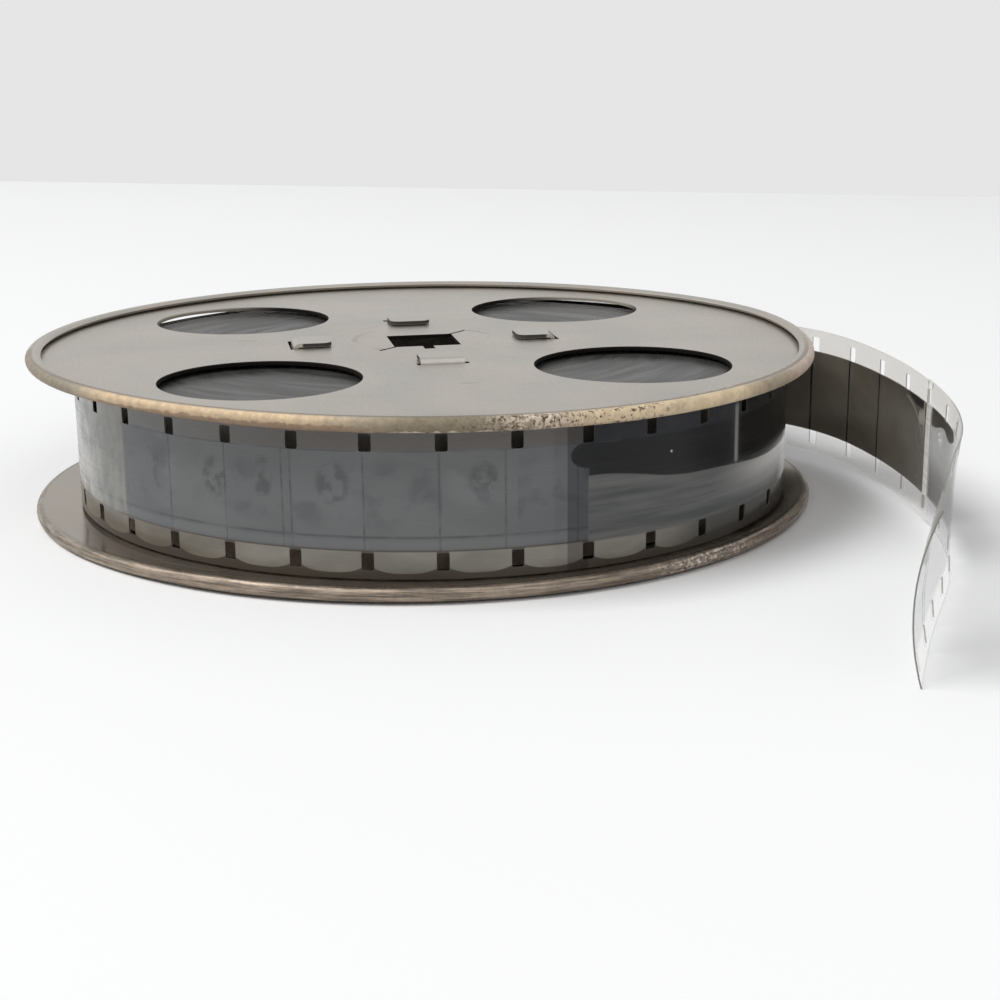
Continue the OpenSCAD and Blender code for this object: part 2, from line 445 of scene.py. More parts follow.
@dataclass(frozen=True)
class PlateFinish:
    """Worn plating on pressed sheet, with a rim rubbed to bronze and pitted; the cut walls carry painted shade, and
    the far walls of the two back holes a pale painted reflection.
    """

    name: str
    cool: Colour
    warm: Colour
    rim_plain: Colour
    rim_rubbed: Colour
    rust: Colour
    cut_low: float
    cut_high: float
    cut_reach: float = 44.0
    # The near black of the cut walls is painted shade; the pale colour of the back holes' far walls is a painted
    # reflection.
    cut_shade: Colour = (0.008, 0.007, 0.006)
    cut_reflection: Colour = (0.4, 0.365, 0.31)
    seam: Colour = (0.19, 0.145, 0.095)
    scuffed: Colour = (0.2, 0.16, 0.12)
    metal: float = 1.0
    shine: float = 0.15
    rough: float = 0.36
    rim_dull: float = 0.14
    wall_dull: float = 0.2
    worn_dull: float = 0.3
    rim_from: float = 46.3
    rubbed_at: float = -88.0
    rubbed_low: float = 0.2
    rubbed_high: float = 0.75
    pitted_at: float = -76.0
    pitted_low: float = 0.93
    pit_level: float = 0.42
    wave: float = 0.5
    wave_mm: float = 0.12
    streaks: float = 0.0
    zones: tuple[RimZone, ...] = ()
    scuffs: tuple[tuple[float, float, float], ...] = ()
    arcs: tuple[ArcMark, ...] = ()

    def make(self) -> bpy.types.Material:
        """Lays down the material's nodes.

        Returns:
            The material.
        """
        sheet = ShaderSheet(self.name)
        spot = sheet.spot()
        broad = sheet.noise(spot.where, 0.06, 3.0)
        fine = sheet.noise(spot.where, 2.6, 4.0, 0.6)
        rim = spot.radius.rise(self.rim_from, self.rim_from + 0.4)
        colour = rim.mix(self._plate_colour(sheet, spot, broad), self._rim_colour(sheet, spot))
        seam = spot.radius.band(self.rim_from - 0.2, self.rim_from + 0.3, 0.08)
        seam = seam * spot.towards(self.rubbed_at, 0.1, 0.5)
        pits = self._pits(sheet, spot)
        colour = pits.mix((seam * 0.7).mix(colour, self.seam), self.rust)
        # Painted shade on the walls of cuts, holes and slots; the far walls of the two back holes get a pale painted
        # reflection.
        cut = spot.z.band(self.cut_low, self.cut_high, 0.008) * sheet.upright()
        cut = cut * spot.radius.fall(self.cut_reach, self.cut_reach + 0.3)
        pale = spot.y.rise(17.0, 25.0) * abs(spot.x).rise(15.0, 26.0)
        sheet.set("Base Color", cut.mix(colour, pale.mix(self.cut_shade, self.cut_reflection)))
        worn = pits | cut
        sheet.set("Metallic", worn.rise(0.0, 1.0, self.metal, 0.1))
        sheet.set("Specular IOR Level", self.shine)
        rough = fine.rise(0.3, 0.7, self.rough - 0.05, self.rough + 0.06) + rim * self.rim_dull
        rough = rough + sheet.upright() * self.wall_dull
        sheet.set("Roughness", sheet.math("ADD", rough, worn * self.worn_dull, clamp=True))
        sheet.bump(fine * 0.2 + broad * 0.8 - pits * 0.25, self.wave_mm, self.wave)
        return sheet.material

    def _plate_colour(self, sheet: ShaderSheet, spot: Spot, broad: Wire) -> Wire:
        """Gives the colour of the flat sheet, with short scuffs, the lines that a spindle has rubbed, and on the
        lower flange a band of painted shadow.

        Args:
            sheet: the material.
            spot: the point on the object.
            broad: a noise in broad patches.

        Returns:
            The colour.
        """
        plate = sheet.noise(spot.where, 0.11, 2.0).rise(0.38, 0.62).mix(self.cool, self.warm)
        turned = sheet.noise(sheet.join(spot.radius * 5.0, spot.angle), 1.0, 3.0).rise(0.35, 0.65, -0.015, 0.015)
        plate = sheet.scaled(plate, broad.rise(0.3, 0.7, 0.95, 1.04) + turned)
        for x, y, half in self.scuffs:
            scuff = spot.x.band(x - half, x + half, 0.25) * spot.y.band(y - 0.3, y + 0.3, 0.2)
            plate = (scuff * 0.45).mix(plate, self.scuffed)
        for arc in self.arcs:
            plate = arc.mask(spot).mix(plate, arc.colour)
        return plate

    def _rim_colour(self, sheet: ShaderSheet, spot: Spot) -> Wire:
        """Gives the colour of the rolled rim, rubbed through on its outer side.

        Args:
            sheet: the material.
            spot: the point on the object.

        Returns:
            The colour.
        """
        rubbed = spot.towards(self.rubbed_at, self.rubbed_low, self.rubbed_high)
        rubbed = rubbed * spot.radius.rise(self.rim_from, self.rim_from + 0.8)
        rubbed = rubbed * sheet.noise(spot.where, 0.35, 4.0, 0.6).rise(0.22, 0.5, 0.35, 1.0)
        edge = rubbed.mix(self.rim_plain, self.rim_rubbed)
        for zone in self.zones:
            edge = zone.mask(sheet, spot).mix(edge, zone.colour)
        if self.streaks > 0.0:
            lines = sheet.noise(sheet.join(spot.angle * 9.0, spot.z * 5.0, spot.radius * 2.0), 1.0, 4.0, 0.65)
            edge = sheet.scaled(edge, lines.rise(0.3, 0.7, 1.0 - self.streaks, 1.0 + self.streaks))
        return sheet.scaled(edge, sheet.noise(spot.where, 0.9, 5.0, 0.65).rise(0.3, 0.7, 0.88, 1.1))

    def _pits(self, sheet: ShaderSheet, spot: Spot) -> Wire:
        """Masks the rust pits, which crowd together on one stretch of the rim.

        Args:
            sheet: the material.
            spot: the point on the object.

        Returns:
            The mask.
        """
        crowd = spot.towards(self.pitted_at, self.pitted_low, self.pitted_low + 0.04)
        many = sheet.noise(spot.where, 3.0, 4.0, 0.6).fall(self.pit_level - 0.02, self.pit_level + 0.02) * crowd
        few = sheet.noise(spot.where, 1.1, 4.0, 0.65).rise(0.71, 0.74)
        return (many | few) * spot.radius.rise(self.rim_from + 0.35, self.rim_from + 0.6)


@dataclass(frozen=True)
class RollFinish:
    """The edges of many turns of film pressed together."""

    name: str = "film_edges"
    dark: Colour = (0.034, 0.033, 0.032)
    light: Colour = (0.052, 0.051, 0.049)
    rough: float = 0.28
    shine: float = 0.12
    ridge_mm: float = 0.03
    ridges: float = 0.03

    def make(self) -> bpy.types.Material:
        """Lays down the material's nodes.

        Returns:
            The material.
        """
        sheet = ShaderSheet(self.name)
        spot = sheet.spot()
        turns = sheet.noise(sheet.join(spot.radius * 3.2, spot.angle), 1.0, 4.0, 0.65)
        patches = sheet.noise(sheet.join(spot.radius * 0.5, spot.angle * 2.0), 1.0, 2.0)
        share = turns.rise(0.3, 0.75, 0.0, 0.3) + patches.rise(0.35, 0.7, 0.0, 0.7)
        sheet.set("Base Color", share.mix(self.dark, self.light))
        sheet.set("Roughness", patches.rise(0.3, 0.7, self.rough - 0.06, self.rough + 0.1))
        sheet.set("Specular IOR Level", self.shine)
        sheet.bump(turns, self.ridge_mm, self.ridges)
        return sheet.material


class FilmFinish(ABC):
    """What the finishes of the film share: the frames and the edges of the picture."""

    frame_low: float = 0.171
    frame_high: float = 0.829
    index: float = 1.48
    wave_mm: float = 0.12

    def __init__(self, name: str) -> None:
        """Starts the material and reads the place on the film.

        Args:
            name: the material's name.
        """
        self.sheet = ShaderSheet(name)
        self.run, self.across = self.sheet.film_place()
        self.cell = self.sheet.math("FLOOR", self.run - 0.5)
        self.part = self.sheet.math("FRACT", self.run)

    @abstractmethod
    def lay(self) -> None:
        """Lays down the nodes that feed the shader."""

    def make(self) -> bpy.types.Material:
        """Lays down the nodes and gives the material."""
        self.lay()
        return self.sheet.material

    def window(self, soft: float = 0.005) -> Wire:
        """Masks the strip that the pictures take, between the two rows of perforations."""
        return self.across.band(self.frame_low, self.frame_high, soft)

    def line(self, at: float, half: float) -> Wire:
        """Masks a thin line across every frame, at a place in it and with half a width in frames."""
        return abs(self.part - at).fall(half * 0.4, half * 1.6)

    def patch(self, run: float, across: float, half_run: float, half_across: float, soft: float = 0.15) -> Wire:
        """Masks a round patch on the film.

        Args:
            run: its middle along the film, in frames.
            across: its middle across the film.
            half_run: its half length.
            half_across: its half width.
            soft: how soft its edge is.

        Returns:
            The mask.
        """
        off = ((self.run - run) / half_run) ** 2.0 + ((self.across - across) / half_across) ** 2.0
        return off.fall(1.0 - soft, 1.0 + soft)

    def cloud(self, along: float, across: float, detail: float = 3.0, shift: float = 0.0) -> Wire:
        """Gives a noise that can be drawn out along the film.

        Args:
            along: patches per frame along the film.
            across: patches over the film's width.
            detail: how many finer layers it has.
            shift: which stretch of the noise is read.

        Returns:
            The noise.
        """
        return self.sheet.noise(self.sheet.join(self.run * along, self.across * across, shift), 1.0, detail, 0.55)

    def gloss(self, rough: float, wave: float = 0.25, shine: float = 0.5, scuffed: float = 0.12) -> None:
        """Sets a smooth film surface with fine scuffs.

        Args:
            rough: the roughness.
            wave: how strong the bump is.
            shine: the shader's specular level.
            scuffed: how much rougher the scuffs are.
        """
        scuff = self.cloud(0.6, 26.0, 4.0, 3.0)
        self.sheet.set("Roughness", scuff.rise(0.3, 0.75, rough - 0.4 * scuffed, rough + scuffed))
        self.sheet.set("IOR", self.index)
        self.sheet.set("Specular IOR Level", shine)
        self.sheet.bump(self.cloud(0.9, 3.0, 2.0, 5.0), self.wave_mm, wave)


class GreyFilm(FilmFinish):
    """Faded grey pictures in thin outlines, over a margin with pale blocks between the perforations; the blocks are a
    painted reflection of the lower flange, and a pale painted reflection lies where the loose turn starts.
    """

    cold: Colour = (0.112, 0.12, 0.127)
    plain: Colour = (0.128, 0.131, 0.129)
    smudged: Colour = (0.052, 0.055, 0.06)
    rubbed: Colour = (0.045, 0.046, 0.048)
    bloomed: Colour = (0.2, 0.21, 0.215)
    outline: Colour = (0.04, 0.043, 0.047)
    stripe: Colour = (0.2, 0.215, 0.22)
    # Pale painted reflection at a grazing angle, over frames 29.6 to 32.
    fade_and_sheen: tuple[Colour, Colour] = ((0.3, 0.3, 0.255), (0.56, 0.54, 0.49))
    # The pale blocks are a painted reflection of the lower flange in the clear margin.
    reflected_block: tuple[Colour, Colour] = ((0.235, 0.22, 0.188), (0.16, 0.138, 0.102))
    low_margin: Colour = (0.066, 0.053, 0.041)
    high_margin: tuple[Colour, Colour] = ((0.1, 0.09, 0.08), (0.135, 0.134, 0.13))
    rubs: tuple[tuple[float, float, float], ...] = (
        (28.75, 0.58, 0.14), (27.7, 0.6, 0.2), (26.95, 0.63, 0.15), (25.95, 0.62, 0.22), (23.95, 0.62, 0.2))

    def lay(self) -> None:
        """Lays down the nodes that feed the shader."""
        self.sheet.set("Base Color", self.colour())
        self.gloss(0.2)

    def colour(self) -> Wire:
        """Gives the colour of the pictures and the margins, which turns pale with a painted reflection where the
        loose turn starts.

        Returns:
            The colour.
        """
        lines = self.outlines() * self.cloud(2.2, 9.0, 3.0, 31.0).rise(0.35, 0.6, 0.25, 0.65)
        picture = lines.mix(self.picture(), self.outline)
        colour = self.across.band(0.19, 0.838, 0.006).mix(self.margin(), picture)
        colour = (self.across.band(0.202, 0.25, 0.01) * 0.2).mix(colour, self.stripe)
        # Painted reflection: a pale grazing sheen over frames 29.6 to 32.
        fade_and_sheen = self.run.band(29.62, 32.0, 0.03) * self.across.rise(0.17, 0.2)
        fade_and_sheen = fade_and_sheen * self.cloud(3.0, 4.0, 3.0, 13.0).rise(0.3, 0.65, 0.1, 0.55)
        return fade_and_sheen.mix(colour, self.run.rise(30.2, 31.0).mix(*self.fade_and_sheen))

    def picture(self) -> Wire:
        """Gives the grey of the pictures, with smudges, rubbed places and pale blooms.

        Returns:
            The colour.
        """
        sheet = self.sheet
        tone = sheet.chance(self.cell, 2.0) * 0.14 + self.cloud(0.5, 3.0).rise(0.3, 0.7, 0.82, 0.98)
        picture = sheet.scaled(sheet.chance(self.cell, 5.0).mix(self.cold, self.plain), tone)
        picture = sheet.scaled(picture, self.run.rise(27.6, 29.4, 1.0, 0.86))
        smudge = self.cloud(1.4, 3.4, 4.0, 7.0).rise(0.5, 0.64) * self.across.band(0.36, 0.76, 0.1)
        smudge = smudge * sheet.chance(self.cell, 9.0).rise(0.2, 0.45)
        picture = (smudge * 0.45).mix(picture, self.smudged)
        rag = self.cloud(5.0, 8.0, 3.0, 21.0).rise(0.42, 0.58)
        for run, across, half in self.rubs:
            picture = (self.patch(run, across, half, 0.13, 0.5) * rag * 0.62).mix(picture, self.rubbed)
        return (self.cloud(1.1, 2.4, 3.0, 17.0).rise(0.56, 0.7) * 0.3).mix(picture, self.bloomed)

    def outlines(self) -> Wire:
        """Masks the thin lines round the pictures.

        Returns:
            The mask.
        """
        early = self.run.fall(24.0, 24.2) | self.run.band(26.4, 26.9, 0.05)
        lines = self.line(0.535, 0.014) * self.run.rise(24.0, 24.2) | self.line(0.66, 0.014) * early
        sides = self.across.band(0.266, 0.282, 0.006) | self.across.band(0.826, 0.836, 0.005)
        return lines * self.window() | sides

    def margin(self) -> Wire:
        """Gives the colour of the margins, with pale rounded blocks between the lower perforations, which are a
        painted reflection of the lower flange.

        Returns:
            The colour.
        """
        off = 0.5 - abs(self.part - 0.5)
        # The pale rounded blocks are a painted reflection of the lower flange in the clear margin.
        foot = (off / 0.41) ** 3.0 * 0.034 + 0.038
        reflected_block = (self.across - foot).rise(-0.004, 0.004) * self.across.fall(0.177, 0.183) * off.fall(0.405, 0.425)
        tone = self.cloud(1.0, 5.0, 3.0, 2.0).rise(0.3, 0.7, 0.8, 1.1)
        low = reflected_block.mix(self.low_margin, self.sheet.scaled(self.run.rise(26.5, 29.0).mix(*self.reflected_block), tone))
        return self.across.rise(0.4, 0.6).mix(low, self.run.rise(26.0, 28.5).mix(*self.high_margin))


class ShadeAndSheenFilm(GreyFilm):
    """Dense film, black along its upper side down to a sloping line, with grey streaks below; the black is deepened
    with painted shade under the upper flange, and the grey below is painted reflection.
    """

    stop: float = 22.5
    strip: float = 22.81
    # The black is the film's density deepened with painted shade under the upper flange.
    black: Colour = (0.006, 0.0064, 0.0072)
    top: Colour = (0.02, 0.021, 0.026)
    scratch: Colour = (0.36, 0.36, 0.35)
    speck: Colour = (0.5, 0.5, 0.48)
    low_side: Colour = (0.06, 0.055, 0.048)
    streaked: tuple[Colour, Colour] = ((0.042, 0.046, 0.048), (0.125, 0.125, 0.12))
    # Painted reflection: lighter grey under the shore, and pale where the film turns away at a grazing angle.
    below: Colour = (0.165, 0.165, 0.158)
    turned: Colour = (0.62, 0.61, 0.59)
    far: Colour = (0.86, 0.85, 0.83)

    def lay(self) -> None:
        """Lays down the nodes that feed the shader."""
        # Painted shade above the shore, painted reflection in the grey below it.
        body = (self.across - self.shore()).rise(-0.006, 0.006).mix(self.streaks(), self.black)
        body = (self.across.rise(0.8, 0.83) * 0.8).mix(body, self.top)
        scratch = self.run.band(19.67, 19.76, 0.03) * self.across.band(0.5, 0.9, 0.02)
        body = (scratch * 0.6).mix(body, self.scratch)
        body = self.patch(21.15, 0.69, 0.018, 0.009).mix(body, self.speck)
        low = self.run.rise(20.2, 21.6).mix(self.low_side, self.margin())
        body = self.across.rise(0.165, 0.185).mix(low, body)
        plain = self.colour()
        colour = self.run.band(self.stop, self.strip, 0.01).mix(plain, self.sheet.scaled(plain, 0.52))
        colour = self.run.fall(self.stop - 0.02, self.stop + 0.02).mix(colour, body)
        self.sheet.set("Base Color", self.patch(self.stop, 0.748, 0.26, 0.085).mix(colour, self.black))
        self.gloss(0.16, 0.18, 0.35)

    def shore(self) -> Wire:
        """Gives the height of the line under the black."""
        wave = self.cloud(0.7, 0.4, 2.0, 4.0).rise(0.3, 0.7, -0.005, 0.005)
        return self.run.rise(18.6, 20.6, 0.452, 0.51) + self.run.rise(20.7, 22.4, 0.0, 0.105) + wave

    def streaks(self) -> Wire:
        """Gives the grey streaks under the black, a painted reflection, lighter just below it and pale where the film
        turns away at a grazing angle.

        Returns:
            The colour.
        """
        grey = self.cloud(0.28, 9.0, 4.0, 11.0).rise(0.32, 0.68).mix(*self.streaked)
        grey = (self.shore() - self.across).rise(0.02, 0.12, 0.45, 0.0).mix(grey, self.below)
        grey = self.across.band(0.33, 0.43, 0.06).mix(grey, self.sheet.scaled(grey, 1.15))
        # Painted reflection, pale where the film turns away at a grazing angle.
        grey = (self.run.fall(17.9, 20.4) * self.across.rise(0.22, 0.4) * 0.9).mix(grey, self.turned)
        return self.run.fall(17.4, 18.1).mix(grey, self.far)


class DarkFilm(FilmFinish):
    """Dense olive brown pictures with a dark line between them and clear margins."""

    brown: Colour = (0.145, 0.128, 0.1)
    between: Colour = (0.014, 0.013, 0.011)
    fade_and_sheen: Colour = (0.42, 0.39, 0.34)
    margins: tuple[Colour, Colour] = ((0.95, 0.93, 0.88), (0.66, 0.6, 0.47))
    lifted_line: Colour = (0.33, 0.3, 0.25)
    lifted_corner: Colour = (0.02, 0.017, 0.013)

    def lay(self) -> None:
        """Lays down the nodes that feed the shader."""
        sheet = self.sheet
        tone = sheet.chance(self.cell, 3.0) * 0.3 + self.cloud(1.2, 4.0).rise(0.3, 0.7, 0.75, 1.0)
        picture = sheet.scaled(self.brown, tone * self.run.rise(50.0, 54.0, 1.0, 0.62))
        lines = self.line(0.425, 0.022) * self.run.fall(52.9, 53.1)
        picture = self.lifted(lines.mix(picture, self.between))
        blotch = self.patch(54.22, 0.71, 0.16, 0.06, 0.4) * self.cloud(4.0, 9.0, 3.0, 6.0).rise(0.35, 0.6)
        rubbed = self.run.band(54.29, 54.36, 0.02) * self.across.rise(0.5, 0.75)
        picture = ((blotch | rubbed) * 0.85).mix(picture, self.fade_and_sheen)
        dense = self.window()
        sheet.set("Base Color", dense.mix(self.across.rise(0.3, 0.7).mix(*self.margins), picture))
        sheet.set("Alpha", self.across.rise(0.3, 0.7, 0.1, 0.25) | dense * 0.98)
        self.gloss(0.2, 0.2, 0.5, 0.03)

    def lifted(self, picture: Wire) -> Wire:
        """Adds the mark by the splice where the layer has lifted: a dark corner over a pale curved line.

        Args:
            picture: the colour of the pictures.

        Returns:
            The marked colour.
        """
        corner = (self.across - self.run.rise(53.45, 53.95, 0.83, 0.768)).rise(-0.005, 0.005)
        corner = corner * self.run.rise(53.45, 53.55)
        bow = (self.run - 53.3) ** 2.0 + ((self.across - 0.45) / 0.345) ** 2.0
        curve = bow.band(0.94, 1.03, 0.05) * self.run.rise(53.4, 53.6) * self.across.rise(0.45, 0.7, 0.0, 0.75)
        return corner.mix(curve.mix(picture, self.lifted_line), self.lifted_corner)


class ClearFilm(FilmFinish):
    """A nearly clear end of film, greyer by the splice, with a dark smear along its upper side."""

    start: float = 54.5
    margins: tuple[Colour, Colour] = ((0.79, 0.785, 0.78), (0.62, 0.58, 0.49))
    hazes: tuple[Colour, Colour] = ((0.11, 0.104, 0.094), (0.13, 0.13, 0.142))
    spotted: Colour = (0.9, 0.88, 0.82)
    crackled: Colour = (0.13, 0.126, 0.118)
    folded: Colour = (0.1, 0.096, 0.09)
    smeared: Colour = (0.075, 0.068, 0.056)

    def lay(self) -> None:
        """Lays down the nodes that feed the shader."""
        past = self.run - self.start
        haze = self.window(0.008)
        smear = self.smear()
        crackle, fold = self.worn_end()
        spot = self.patch(55.2, 0.675, 0.15, 0.06, 0.5) * self.cloud(14.0, 30.0, 3.0, 8.0).rise(0.4, 0.6)
        colour = haze.mix(self.across.rise(0.75, 0.9).mix(*self.margins), past.rise(1.2, 3.0).mix(*self.hazes))
        colour = crackle.mix(spot.mix(colour, self.spotted), self.crackled)
        self.sheet.set("Base Color", smear.mix(fold.mix(colour, self.folded), self.smeared))
        margin = self.across.rise(0.75, 0.9, 0.13, 0.3)
        veil = self.across.rise(0.3, 0.56, 0.62, 0.48) * past.fall(0.9, 3.0) + past.rise(0.9, 3.0, 0.0, 0.2)
        self.sheet.set("Alpha", haze * veil | margin | (smear | spot) * 0.97 | crackle * 0.6 | fold * 0.75)
        self.gloss(0.14, 0.35, 0.12)

    def smear(self) -> Wire:
        """Masks the dark smear along the upper edge of the picture, in two lobes.

        Returns:
            The mask.
        """
        lower = self.run.rise(54.7, 55.35, 0.7, 0.757)
        body = (self.across - lower).rise(-0.006, 0.006) * self.window() * self.run.fall(55.78, 55.82)
        return body | self.patch(55.8, 0.785, 0.36, 0.058) * self.window()

    def worn_end(self) -> tuple[Wire, Wire]:
        """Masks the crackled patch by the cut end and the fine fold behind it.

        Returns:
            The two masks.
        """
        crease = self.across.rise(0.2, 0.5, 60.45, 60.1) - self.across.rise(0.6, 0.75, 0.0, 0.8)
        beyond = self.run - crease + self.cloud(2.0, 5.0, 2.0, 9.0).rise(0.3, 0.7, -0.08, 0.08)
        level = self.across - (self.run - 60.05) * 0.142
        corner = beyond.rise(0.0, 0.1) * level.rise(0.43, 0.5)
        upper = self.across.rise(0.84, 0.86) * self.run.rise(55.6, 56.6, 0.0, 0.6)
        grain = self.cloud(9.0, 22.0, 3.0, 1.0).rise(0.4, 0.62, 0.55, 1.0)
        fold = beyond.band(-0.045, 0.045, 0.02) * self.across.band(0.18, 0.9, 0.03)
        inner = self.across.band(0.845, 0.856, 0.004) * self.run.rise(55.7, 56.3)
        return (corner | upper) * grain, fold | inner


class SpliceFilm(FilmFinish):
    """The scraped and cemented lap between two films, bright across the picture and clear in the margins."""

    scraped: tuple[Colour, Colour] = ((0.86, 0.84, 0.78), (0.96, 0.945, 0.9))

    def lay(self) -> None:
        """Lays down the nodes that feed the shader."""
        self.sheet.set("Base Color", self.cloud(9.0, 3.0, 3.0, 2.0).rise(0.35, 0.65).mix(*self.scraped))
        self.sheet.set("Alpha", self.window().rise(0.0, 1.0, 0.13, 0.8))
        self.gloss(0.25)


class EdgeFilm(FilmFinish):
    """The cut edges of the film, which show as a thin dark line."""

    edge: tuple[Colour, Colour] = ((0.06, 0.056, 0.05), (0.13, 0.12, 0.105))
    cut_end: Colour = (0.21, 0.2, 0.18)

    def lay(self) -> None:
        """Lays down the nodes that feed the shader."""
        edge = self.cloud(3.0, 2.0).rise(0.3, 0.7).mix(*self.edge)
        self.sheet.set("Base Color", self.run.rise(61.0, 61.3).mix(edge, self.cut_end))
        self.sheet.set("Roughness", 0.35)


class PaleEdgeFilm(FilmFinish):
    """The edges of clear film, grey along the top and nearly unseen along the bottom."""

    bottom: Colour = (0.82, 0.81, 0.78)
    top: tuple[Colour, Colour] = ((0.55, 0.53, 0.47), (0.19, 0.182, 0.165))

    def lay(self) -> None:
        """Lays down the nodes that feed the shader."""
        top = self.run.rise(55.2, 56.4).mix(*self.top)
        self.sheet.set("Base Color", self.across.rise(0.93, 0.98).mix(self.bottom, top))
        self.sheet.set("Alpha", self.across.rise(0.93, 0.98, 0.35, 0.9))
        self.sheet.set("Roughness", 0.3)


class LineFilm(FilmFinish):
    """The side of a perforation in clear film, which shows as a thin grey line."""

    side: tuple[Colour, Colour] = ((0.2, 0.185, 0.16), (0.34, 0.32, 0.28))

    def lay(self) -> None:
        """Lays down the nodes that feed the shader."""
        self.sheet.set("Base Color", self.cloud(3.0, 4.0).rise(0.3, 0.7).mix(*self.side))
        self.sheet.set("Alpha", self.run.rise(61.2, 61.4, 0.8, 0.3))
        self.sheet.set("Roughness", 0.3)


class RollWall(FilmFinish):
    """The outermost tight turn, brown at its lower edge, which shows through the perforations of the loose one."""

    wall: tuple[Colour, Colour] = ((0.8, 0.66, 0.55), (0.6, 0.57, 0.52))

    def lay(self) -> None:
        """Lays down the nodes that feed the shader."""
        spot = self.sheet.spot()
        grain = self.sheet.noise(spot.where, 0.4, 3.0).rise(0.3, 0.7, 0.75, 1.15)
        self.sheet.set("Base Color", self.sheet.scaled(spot.z.rise(5.0, 13.0).mix(*self.wall), grain))
        self.sheet.set("Roughness", 0.4)


def film_skins() -> list[bpy.types.Material]:
    """Makes the finishes of the film, in the order of the skins.

    Returns:
        The materials.
    """
    finishes = (ShadeAndSheenFilm("film_shade_and_sheen"), GreyFilm("film_grey"), DarkFilm("film_dark"), SpliceFilm("film_splice"),
                ClearFilm("film_clear"), EdgeFilm("film_cut_edge"), PaleEdgeFilm("film_pale_edge"),
                LineFilm("film_perforation_side"))
    return [finish.make() for finish in finishes]


@dataclass
class Studio:
    """The camera, the pale table, the soft light and the pale surroundings, in metres."""

    eye: Point = (-0.029241, -0.209229, 0.054706)
    yaw: float = 0.1826
    pitch: float = -0.2615
    roll: float = -0.0088
    lens: float = 62.5525
    sensor: float = 36.0
    near: float = 0.01
    table_reach: float = 2.5
    table_back: tuple[tuple[float, float], ...] = ((2.5, 0.25), (0.34, 0.301), (-0.15, 0.546), (-2.5, 0.6))
    table_tints: tuple[Colour, Colour] = ((0.965, 0.97, 0.977), (0.98, 0.984, 0.99))
    ambient: float = 0.38
    seen: float = 0.79
    key_at: Point = (-1.0, -0.12, 1.55)
    key_power: float = 23.5
    fill_at: Point = (0.35, -1.05, 0.9)
    fill_power: float = 2.8
    lamp_size: float = 1.0
    lit: Point = (0.0, 0.0, 0.01)

    def set_camera(self) -> None:
        """Puts the camera where the picture was taken from."""
        ahead = Vector((sin(self.yaw) * cos(self.pitch), cos(self.yaw) * cos(self.pitch), sin(self.pitch)))
        level = Vector((cos(self.yaw), -sin(self.yaw), 0.0))
        above = level.cross(ahead)
        side = cos(self.roll) * level + sin(self.roll) * above
        upright = cos(self.roll) * above - sin(self.roll) * level
        data = bpy.data.cameras.new("camera")
        data.lens = self.lens
        data.sensor_width = self.sensor
        data.clip_start = self.near
        camera = add_to_scene("camera", data)
        turn = Matrix((side, upright, -ahead)).transposed().to_4x4()
        camera.matrix_world = Matrix.Translation(Vector(self.eye)) @ turn
        bpy.context.scene.camera = camera

    def lay_table(self) -> None:
        """Lays the pale table that the reel stands on."""
        sheet = ShaderSheet("table_white")
        sheet.set("Base Color", sheet.noise(sheet.spot().where, 0.012, 3.0).mix(*self.table_tints))
        sheet.set("Roughness", 0.7)
        sheet.set("Specular IOR Level", 0.2)
        reach = self.table_reach
        corners = [(x, y, 0.0) for x, y in ((-reach, -reach), (reach, -reach), *self.table_back)]
        mesh = new_mesh("table", corners, [range(len(corners))], [sheet.material])
        add_to_scene("table", mesh)

    def add_lamp(self, name: str, place: Point, power: float) -> None:
        """Adds a soft square lamp that looks at the reel.

        Args:
            name: its name.
            place: where it hangs.
            power: its power in watts.
        """
        data = bpy.data.lights.new(name, "AREA")
        data.size = self.lamp_size
        data.energy = power
        aim = (Vector(self.lit) - Vector(place)).to_track_quat("-Z", "Y").to_matrix().to_4x4()
        add_to_scene(name, data).matrix_world = Matrix.Translation(Vector(place)) @ aim

    def set_surroundings(self) -> None:
        """Fills the surroundings with an even pale light, a little brighter to the eye and in reflections."""
        world = bpy.data.worlds.new("surroundings")
        bpy.context.scene.world = world
        world.use_nodes = True
        sheet = NodeSheet(world.node_tree)
        names = ("Is Camera Ray", "Is Glossy Ray", "Is Transmission Ray")
        eye, gloss, glass = (sheet.add("LightPath", {}, name) for name in names)
        feeds = {"Value": eye | gloss | glass, "To Min": self.ambient, "To Max": self.seen}
        level = sheet.add("MapRange", feeds, "Result")
        back = sheet.add("Background", {"Color": (1.0, 1.0, 1.0), "Strength": level})
        out = sheet.tree.nodes.new("ShaderNodeOutputWorld")
        sheet.feed(out.inputs["Surface"], back)
        bpy.context.scene.view_settings.view_transform = "Standard"

    def build(self) -> None:
        """Sets up everything round the reel but the camera."""
        self.lay_table()
        self.set_surroundings()
        self.add_lamp("key_lamp", self.key_at, self.key_power)
        self.add_lamp("fill_lamp", self.fill_at, self.fill_power)


